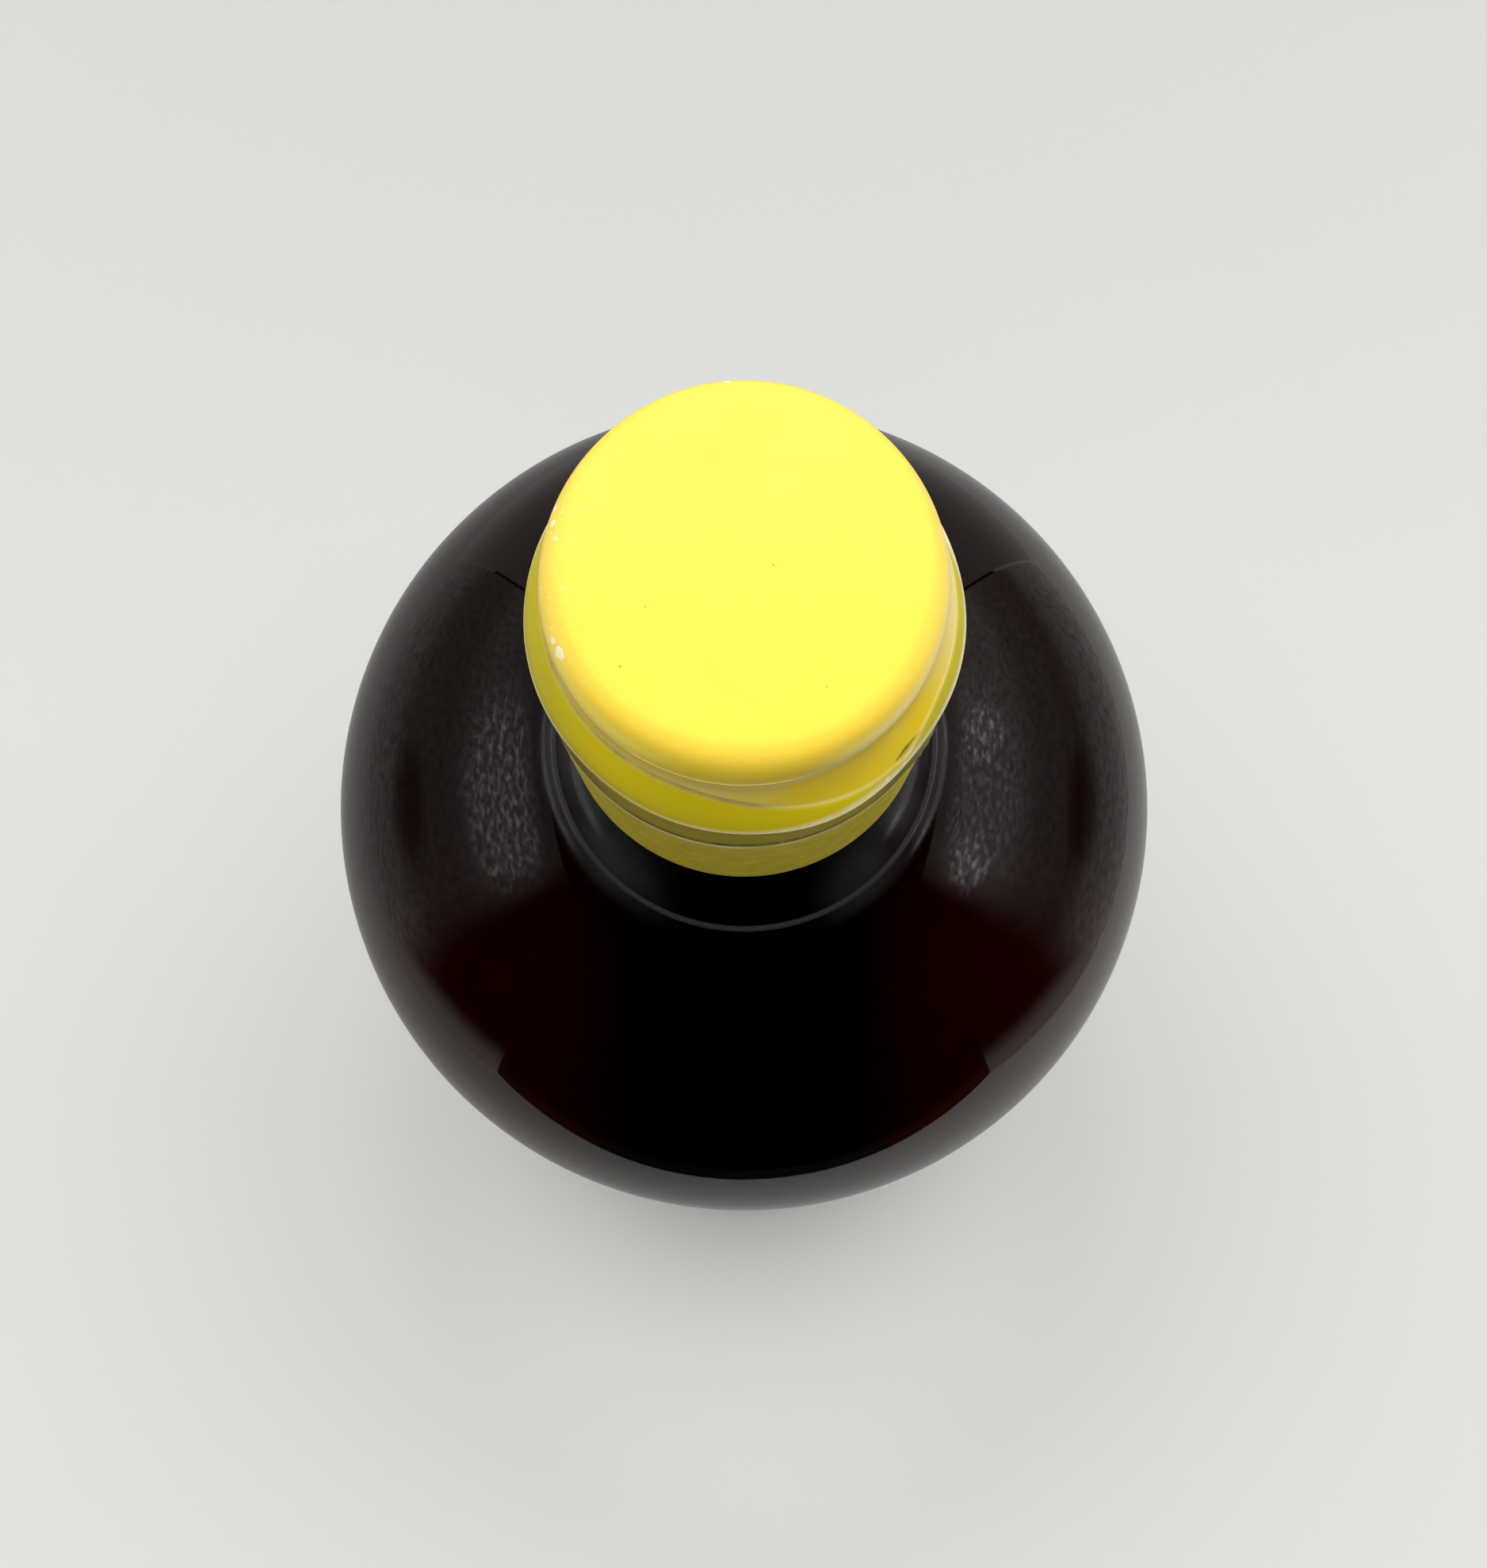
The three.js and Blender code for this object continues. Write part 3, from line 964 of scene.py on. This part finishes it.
def cap_lacquer():
    """Disc, edge, groove and cove first, then the painted highlights and shade on lip, crease and
    dent, and what wear has left on them.
    """
    material, tree, shader, _ = new_material("cap_lacquer")
    x, y, z = object_axes(tree)
    up = smooth_step(tree, z, below_top(1.2), below_top(0.02), 0, 1)
    colour = mix_colours(tree, up, skirt_colour(tree, x, y, z), disc_colour(tree, y))
    rubbed = spread(tree, object_noise(tree, 900, 4, 0.7), 0.55, 1)
    # Painted shade and highlight along the crease: a dark line on the left, a pale one on the
    # right, broken by a noise.
    crease_break = spread(tree, object_noise(tree, 400, 4, 0.7), 0.4, 1)
    to_right = smooth_step(tree, x, -1 * MM, 5 * MM, 0, 1)
    crease_shade_and_highlight = mix_colours(tree, to_right, CREASE_SHADE_LEFT, CREASE_HIGHLIGHT_RIGHT)
    colour = painted(tree, colour, (
        (zone(tree, "groove"), GROOVE_GOLD),
        (zone(tree, "cove"), cove_colour(tree, x)),
        (spread(tree, object_noise(tree, 260, 4, 0.6), 0, 0.2), LACQUER_MOTTLE),
        # Pale lip: partly rubbed wear, partly a painted highlight; the dent's raised rim gets the
        # painted highlight too.
        (times(tree, zone(tree, "lip"), rubbed), LIP_WEAR_AND_HIGHLIGHT),
        (times(tree, zone(tree, "crease", 0.85), crease_break), crease_shade_and_highlight),
        (zone(tree, "nick"), DENT_SHADE),
        (pale_flecks(tree, x, z), PALE_FLECK),
        (any_of(tree, CHIPS), PRIMER),
        (any_of(tree, SPECKS, 0.3), DARK_SPECK),
    ))
    tree.links.new(colour, shader.inputs["Base Color"])
    finish_lacquer(tree, shader, CAP_ROUGHNESS, CAP_GLOSS)
    dull_cove, dull_groove = zone(tree, "cove", 0.23), zone(tree, "groove", 0.2)
    dull = maths(tree, "MAXIMUM", dull_cove, dull_groove)
    gloss = maths(tree, "SUBTRACT", CAP_GLOSS, dull)
    tree.links.new(gloss, shader.inputs["Specular IOR Level"])
    return material


cap.data.materials.append(cap_lacquer())
print(f"The cap has {len(CHIPS)} chips and {len(SPECKS)} specks")

# %% [markdown]
# The band is the same lacquer, but dull: it was handled less kindly. The strip under the lip is
# the darkest, a painted shade that deepens towards the lip and the sides, with pale flecks on it,
# and the ragged bits on the right show bare, light metal. The taper's upper edge is paler, a
# painted highlight.

# %% Lacquer of the band
TAPER_YELLOW, UPPER_EDGE_HIGHLIGHT = (0.82, 0.67, 0.05), (1, 0.94, 0.45)
OLIVE_SHADE_IN_FRONT, OLIVE_SHADE_AT_SIDE = (0.56, 0.43, 0.03), (0.2, 0.155, 0.02)
GAP_SHADE = (0.14, 0.11, 0.015)
SHADE_UNDER_LIP = (0.4, 0.31, 0.02)
BAND_MOTTLE = (0.5, 0.4, 0.03)
BAND_FLECK = (0.9, 0.82, 0.5)
BARE_METAL = (0.92, 0.88, 0.66)
BAND_ROUGHNESS = 0.4
BAND_GLOSS = 0.12


def band_lacquer():
    """The taper with a painted highlight on its upper edge, then the olive strip in painted shade,
    its mottling and its torn bits.
    """
    material, tree, shader, _ = new_material("band_lacquer")
    x, _, z = object_axes(tree)
    # Painted highlight: the upper edge of the taper, under the fine groove, is paler.
    edge = smooth_step(tree, z, below_top(21.2), below_top(19.7), 0, 1)
    strip = smooth_step(tree, z, below_top(19.42), below_top(19.32), 0, 1)
    gap = smooth_step(tree, z, below_top(18.4), below_top(17.9), 1, 0)
    flecks = maths(tree, "GREATER_THAN", object_noise(tree, 1500, 3, 0.7), 0.66)
    colour = painted(tree, mix_colours(tree, edge, TAPER_YELLOW, UPPER_EDGE_HIGHLIGHT), (
        # Painted shade: the strip under the lip is olive, darker still at its sides.
        (strip, mix_colours(tree, to_sides(tree, x, 8, 14), OLIVE_SHADE_IN_FRONT, OLIVE_SHADE_AT_SIDE)),
        (times(tree, strip, gap), GAP_SHADE),
        # Painted shade: darker towards the lip, which overhangs the strip.
        (smooth_step(tree, z, below_top(16.5), below_top(13.5), 0, 0.2), SHADE_UNDER_LIP),
        (spread(tree, object_noise(tree, 420, 4, 0.65), 0, 0.5), BAND_MOTTLE),
        (times(tree, flecks, times(tree, strip, 0.6)), BAND_FLECK),
        (any_of(tree, TORN_BITS, 0.7), BARE_METAL),
    ))
    tree.links.new(colour, shader.inputs["Base Color"])
    finish_lacquer(tree, shader, BAND_ROUGHNESS, BAND_GLOSS)
    return material


band.data.materials.append(band_lacquer())
print(f"The band shows bare metal at {len(TORN_BITS)} torn bits")

# %% [markdown]
# ## Light box, floor and camera
#
# The bottle stood in a white light box with an open front, and the dark shoulder mirrors it: pale
# side walls that are brightest high up, a dimmer back wall, a white floor, and black where the box
# is open towards the camera's holder. The walls are cards that only mirror images and light rays
# see. The camera looks down from just in front of the cap.

# %% Helpers for the light box
def stage_plane(name, size, location, rotation):
    """A flat card that belongs to the stage."""
    deselect_all()
    bpy.ops.mesh.primitive_plane_add(size=1, location=location, rotation=rotation)
    plane = bpy.context.object
    plane.name = name
    plane.scale = (*size, 1)
    return plane


def depth_and_height(tree):
    """How far back in the room and how high up each place is, in metres."""
    geometry = tree.nodes.new("ShaderNodeNewGeometry")
    split = tree.nodes.new("ShaderNodeSeparateXYZ")
    tree.links.new(geometry.outputs["Position"], split.inputs["Vector"])
    return split.outputs["Y"], split.outputs["Z"]


def in_diffuse_light(tree, strength):
    """The strength for the soft light that falls on dull things, and 0 in any mirror."""
    path = tree.nodes.new("ShaderNodeLightPath")
    return times(tree, path.outputs["Is Diffuse Ray"], strength)


def by_height(tree, height, rows):
    """Brightness that follows rows of (height in metres, brightness)."""
    top = rows[-1][0]
    peak = max(row[1] for row in rows)
    share = tree.nodes.new("ShaderNodeMapRange")
    share.inputs["From Max"].default_value = top
    tree.links.new(height, share.inputs["Value"])
    steps = tree.nodes.new("ShaderNodeValToRGB")
    steps.color_ramp.interpolation = "EASE"
    elements = steps.color_ramp.elements
    elements.remove(elements[1])
    for at, level in rows:
        element = elements[0] if at == rows[0][0] else elements.new(at / top)
        element.position = at / top
        element.color = (*[level / peak] * 3, 1)
    tree.links.new(share.outputs["Result"], steps.inputs["Fac"])
    return times(tree, steps.outputs["Color"], peak)


def patch(tree, axes, centre, half, level):
    """A soft-edged patch of light on two axes, round its centre, half its size either way."""
    squares = []
    for axis, middle, reach in zip(axes, centre, half):
        away = maths(tree, "DIVIDE", maths(tree, "SUBTRACT", axis, middle), reach)
        squares.append(times(tree, away, away))
    return smooth_step(tree, maths(tree, "ADD", *squares), 0.15, 1.4, level, 0)


# %% [markdown]
# ### The side walls
#
# The sides are cloth with lamps behind. Rows of numbers tell how bright the cloth is at each
# height, and soft patches add the lamps, or take light away where the number is negative. Noises
# give the crinkles that show in the dark shoulder. On dull things the walls shine more than in a
# mirror, because the cloth above the bottle, which isn't built here, would light them too.

# %% Walls of the light box
BOX_HALF = 0.25
BOX_FRONT = -0.24
BOX_HEIGHT = 0.5
QUARTER = math.radians(90)
WALL_COLOUR = (1, 0.985, 0.965, 1)
WALL_FILL = 1.3


def side_wall(name, side, rows, lamps):
    """A side of the box: dim cloth with lamps behind it, dark where it nears the open front."""
    middle = (BOX_HALF + BOX_FRONT) / 2
    wall = stage_plane(
        name,
        (BOX_HEIGHT, BOX_HALF - BOX_FRONT),
        (side * BOX_HALF, middle, BOX_HEIGHT / 2),
        (0, -side * QUARTER, 0),
    )
    material, tree, emission, _ = new_material(name + "_cloth", "ShaderNodeEmission")
    depth, height = depth_and_height(tree)
    level = by_height(tree, height, rows)
    crinkles = object_noise(tree, 42, 6, 0.75)
    crinkles = smooth_step(tree, crinkles, 0.46, 0.66, 0.15, 2.6)
    for centre, half, extra in lamps:
        lamp = patch(tree, (depth, height), centre, half, extra)
        if extra > 0:
            lamp = times(tree, lamp, crinkles)
        level = maths(tree, "ADD", level, lamp)
    inwards = smooth_step(tree, depth, -0.13, -0.06, 0, 1)
    level = times(tree, level, inwards)
    creases = object_noise(tree, 55, 5, 0.7)
    level = times(tree, level, spread(tree, creases, 0.45, 1.55))
    foot = smooth_step(tree, height, 0.03, 0.1, 0.28, 0)
    level = maths(tree, "MAXIMUM", level, foot)
    filled = maths(tree, "ADD", 1, in_diffuse_light(tree, WALL_FILL))
    level = times(tree, level, filled)
    emission.inputs["Color"].default_value = WALL_COLOUR
    tree.links.new(level, emission.inputs["Strength"])
    wall.data.materials.append(material)
    return wall


left_wall = side_wall(
    "box_left",
    -1,
    [(0.0, 0.3), (0.1, 0.24), (0.16, 0.15), (0.22, 0.16), (0.3, 0.3), (0.4, 0.28), (0.5, 0.15)],
    [((0.0, 0.36), (0.13, 0.09), 0.55), ((0.01, 0.16), (0.05, 0.04), -0.1)],
)
right_wall = side_wall(
    "box_right",
    1,
    [(0.0, 0.38), (0.1, 0.27), (0.16, 0.13), (0.22, 0.2), (0.3, 0.45), (0.4, 0.5), (0.5, 0.25)],
    [
        ((-0.075, 0.37), (0.035, 0.05), 1.1),
        ((0.075, 0.365), (0.035, 0.055), 0.7),
        ((0.0, 0.37), (0.15, 0.09), 0.3),
        ((0.01, 0.15), (0.05, 0.04), -0.1),
    ],
)

# %% [markdown]
# ### Back and front
#
# The back wall is dimmer cloth without lamps. The front is open, so it mirrors as black, but the
# room beyond still lights dull things softly, and that is all its card does. Neither the camera
# nor the shadows see the cards, so they can't get in the way.

# %% Back and open front of the light box
FRONT_FILL = 0.48
back_wall = stage_plane(
    "box_back",
    (2 * BOX_HALF - 0.008, BOX_HEIGHT),
    (0, BOX_HALF, BOX_HEIGHT / 2),
    (QUARTER, 0, 0),
)
cloth, tree, emission, _ = new_material("box_back_cloth", "ShaderNodeEmission")
_, height = depth_and_height(tree)
emission.inputs["Color"].default_value = WALL_COLOUR
back_rows = [(0.0, 0.35), (0.12, 0.22), (0.25, 0.24), (0.4, 0.3), (0.5, 0.2)]
tree.links.new(by_height(tree, height, back_rows), emission.inputs["Strength"])
back_wall.data.materials.append(cloth)

dark_front = stage_plane(
    "box_opening",
    (2 * BOX_HALF, BOX_HEIGHT + 0.3),
    (0, BOX_FRONT, (BOX_HEIGHT + 0.3) / 2),
    (QUARTER, 0, 0),
)
dark, tree, emission, _ = new_material("dark_room", "ShaderNodeEmission")
emission.inputs["Color"].default_value = (1, 1, 0.98, 1)
tree.links.new(in_diffuse_light(tree, FRONT_FILL), emission.inputs["Strength"])
dark_front.data.materials.append(dark)
for wall in (left_wall, right_wall, back_wall, dark_front):
    wall.visible_camera = False
    wall.visible_shadow = False
print(f"The light box is {2 * BOX_HALF:.2f} m wide and {BOX_HEIGHT:.2f} m high")

# %% [markdown]
# ### The floor
#
# The floor is matt paper. The camera sees it as it is, but mirrors and soft light see a dimmer
# one, most of all on the left and near the open front. A faint wide patch of painted light
# brightens it in front of the bottle and a small one close to it, lifting the shadow there. The
# plane is 1 unit wide and stretched to 6 m, so its own coordinates are metres over 6.

# %% Floor
PAPER = ((0.548, 0.55, 0.538), (0.566, 0.568, 0.556))
FLOOR_SIZE = 6
FLOOR_PAINTED_LIGHT = (((0, -0.09), (0.1, 0.1), 0.12), ((0.0003, -0.006), (0.009, 0.011), 0.17))


def floor_material():
    """Matt paper, dimmed for all but the camera, with its two patches of painted light."""
    material, tree, shader, _ = new_material("pale_floor")
    paper = mix_colours(tree, object_noise(tree, 3, 2), *PAPER)
    x, y, _ = object_axes(tree)
    from_left = smooth_step(tree, x, -0.04, 0.04, 0.38, 0.6)
    from_front = smooth_step(tree, y, -0.24, -0.06, 0.05, 1)
    mirrored = times(tree, from_left, from_front)
    path = tree.nodes.new("ShaderNodeLightPath")
    seen = maths(tree, "MAXIMUM", path.outputs["Is Camera Ray"], mirrored)
    # Painted light: two soft patches that lift the shadow in front of the bottle.
    ahead, close = (patch(tree, (x, y), *where) for where in FLOOR_PAINTED_LIGHT)
    painted_light_gain = maths(tree, "ADD", maths(tree, "ADD", ahead, close), 1)
    for share in (painted_light_gain, seen):
        scaled = tree.nodes.new("ShaderNodeVectorMath")
        scaled.operation = "SCALE"
        tree.links.new(paper, scaled.inputs[0])
        tree.links.new(share, scaled.inputs["Scale"])
        paper = scaled.outputs["Vector"]
    tree.links.new(paper, shader.inputs["Base Color"])
    shader.inputs["Roughness"].default_value = 0.9
    shader.inputs["Specular IOR Level"].default_value = 0.1
    return material


floor = stage_plane("floor", (FLOOR_SIZE, FLOOR_SIZE), (0, 0, -0.0002), (0, 0, 0))
floor.data.materials.append(floor_material())
print(f"The floor is {FLOOR_SIZE} m wide")

# %% [markdown]
# ### Light from above
#
# One very wide sun, tilted, stands for the cloth above. It is kept out of mirrors and glass,
# where it would show as a round disc. The world shows only to the camera.

# %% Soft light from above
SUN_STRENGTH = 4.75
SUN_ANGLE = 98
SUN_TILT = -31
SKY_STRENGTH = 0.75


def soft_sun(name, strength, angle, tilt):
    """A sun lamp; the width of its disc and its tilt are in degrees."""
    light = bpy.data.lights.new(name, "SUN")
    light.energy = strength
    light.angle = math.radians(angle)
    holder = bpy.data.objects.new(name, light)
    holder.rotation_euler = (math.radians(tilt), 0, 0)
    bpy.context.scene.collection.objects.link(holder)
    holder.visible_glossy = False
    holder.visible_transmission = False
    print(f"{name} spreads over {angle} degrees")


soft_sun("top_light", SUN_STRENGTH, SUN_ANGLE, SUN_TILT)

world = bpy.data.worlds.new("studio")
bpy.context.scene.world = world
world.use_nodes = True
tree = world.node_tree
background = tree.nodes["Background"]
path = tree.nodes.new("ShaderNodeLightPath")
sky = times(tree, path.outputs["Is Camera Ray"], SKY_STRENGTH)
tree.links.new(sky, background.inputs["Strength"])
background.inputs["Color"].default_value = (0.98, 0.98, 0.965, 1)

# %% [markdown]
# ### The camera
#
# The camera stands above the cap and a little in front of it, and leans forward. Its lens follows
# from a focal length in pixels and the picture's height in pixels.

# %% Camera
PICTURE_HEIGHT_PX = 1978
FOCAL_PX = 2600
SENSOR = 36
CAMERA_LEAN = 11.2
CAMERA_AHEAD = 44.0 * MM
CAMERA_ABOVE_CAP = 143.64 * MM
camera_data = bpy.data.cameras.new("camera")
camera_data.sensor_width = SENSOR
camera_data.lens = FOCAL_PX * SENSOR / PICTURE_HEIGHT_PX
camera_data.clip_start = 0.01
camera = bpy.data.objects.new("camera", camera_data)
camera.location = (-0.06 * MM, -CAMERA_AHEAD, CAP_TOP + CAMERA_ABOVE_CAP)
camera.rotation_euler = (math.radians(CAMERA_LEAN), 0, 0)
bpy.context.scene.collection.objects.link(camera)
bpy.context.scene.camera = camera
bpy.context.scene.view_settings.view_transform = "Standard"
print(f"The camera has a {camera_data.lens:.1f} mm lens and leans by {CAMERA_LEAN} degrees")
